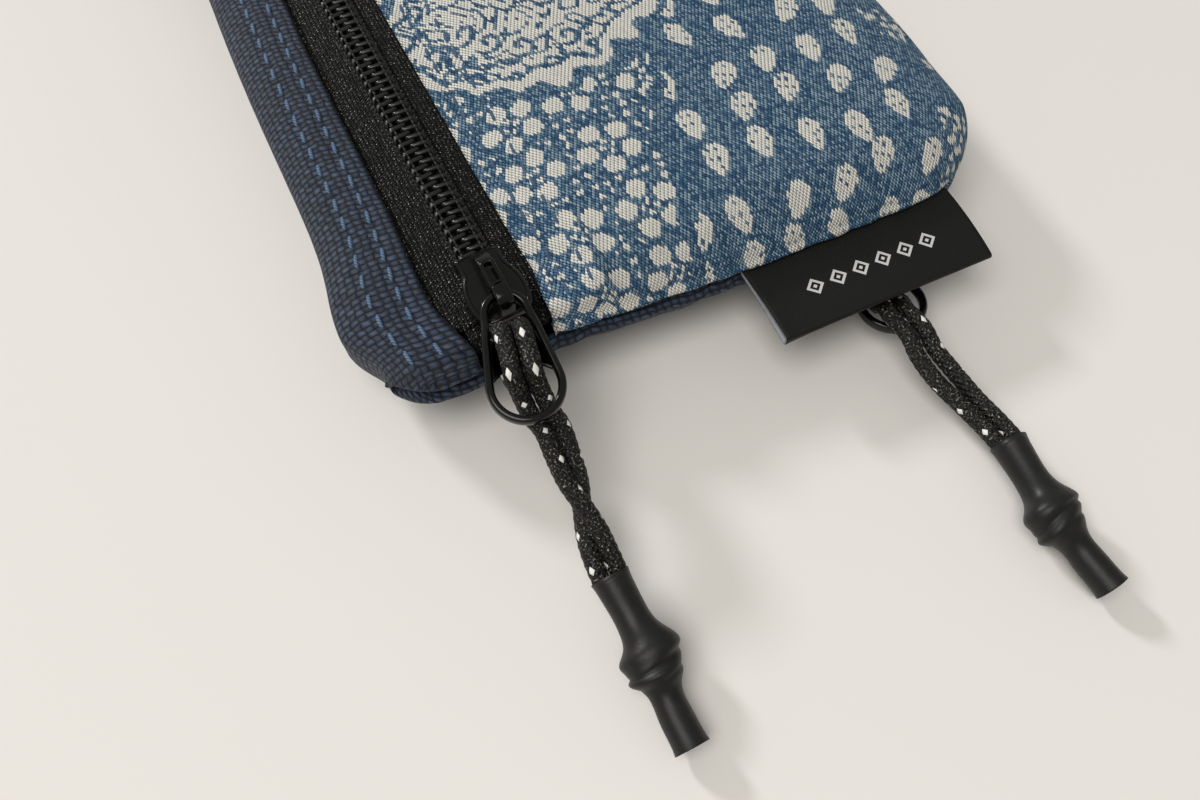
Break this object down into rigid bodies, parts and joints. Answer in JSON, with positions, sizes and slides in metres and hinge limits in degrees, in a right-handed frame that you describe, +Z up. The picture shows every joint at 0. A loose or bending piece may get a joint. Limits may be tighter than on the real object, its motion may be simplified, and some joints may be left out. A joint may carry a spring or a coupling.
{
  "type": "two-compartment zip pouch",
  "caption": "Flat soft pouch with two compartments, a coil zip in the front and another in the back, corded zip pulls and a folded end label.",
  "frame": {"origin": "on the table, under the middle of the pouch's body, on its flat back", "axes": "+X across the pouch from the front zip's fold to the other fold, +Y along the zips away from the labelled end, +Z up out of the front"},
  "size_m": [0.086, 0.1739, 0.02],
  "materials": {
    "navy_cloth": "coarse plain-weave nylon, dark navy, lighter blue topstitching",
    "print_cloth": "woven cotton twill, mid blue with a cream traditional bandana pattern",
    "lining": "thin plain black nylon lining",
    "label_satin": "black woven satin, bare but for a row of small light marks",
    "zip_tape": "black woven zip tape",
    "zip_coil": "black nylon coil, slightly glossy",
    "black_metal": "cast metal with a glossy black coat",
    "cord_braid": "black braided cord with small white flecks",
    "sleeve_rubber": "matt black shrink sleeve"
  },
  "bodies": {
    "pouch": {"navy_panel": "navy_cloth", "print_panel": "print_cloth", "divider_lining": "lining", "end_label": "label_satin", "front_zip_tape_left": "zip_tape", "front_zip_coil_left": "zip_coil", "front_zip_tape_right": "zip_tape", "front_zip_coil_right": "zip_coil", "back_zip_tape_left": "zip_tape", "back_zip_coil_left": "zip_coil", "back_zip_tape_right": "zip_tape", "back_zip_coil_right": "zip_coil"},
    "front_slider": {"front_slider": "black_metal"},
    "front_pull": {"front_pull": "black_metal", "front_cord": "cord_braid", "front_cord_sleeve": "sleeve_rubber"},
    "back_slider": {"back_slider": "black_metal"},
    "back_pull": {"back_pull": "black_metal", "back_cord": "cord_braid", "back_cord_sleeve": "sleeve_rubber"}
  },
  "joints": [
    {"name": "front_zip_slide", "type": "slide", "parent": "pouch", "child": "front_slider", "axis": [0, 1, 0], "range_m": [0, 0.1], "deforming": ["front_cord", "front_cord_sleeve"]},
    {"name": "front_pull_swing", "type": "hinge", "parent": "front_slider", "child": "front_pull", "pos_m": [-0.026, -0.05444, 0.0182], "axis": [-1, 0, 0], "range_deg": [0, 140]},
    {"name": "back_zip_slide", "type": "slide", "parent": "pouch", "child": "back_slider", "axis": [0, 1, 0], "range_m": [0, 0.1], "deforming": ["back_cord", "back_cord_sleeve"]},
    {"name": "back_pull_swing", "type": "hinge", "parent": "back_slider", "child": "back_pull", "pos_m": [0.0225, -0.05859, 0.0028], "axis": [1, 0, 0], "range_deg": [0, 120]}
  ]
}
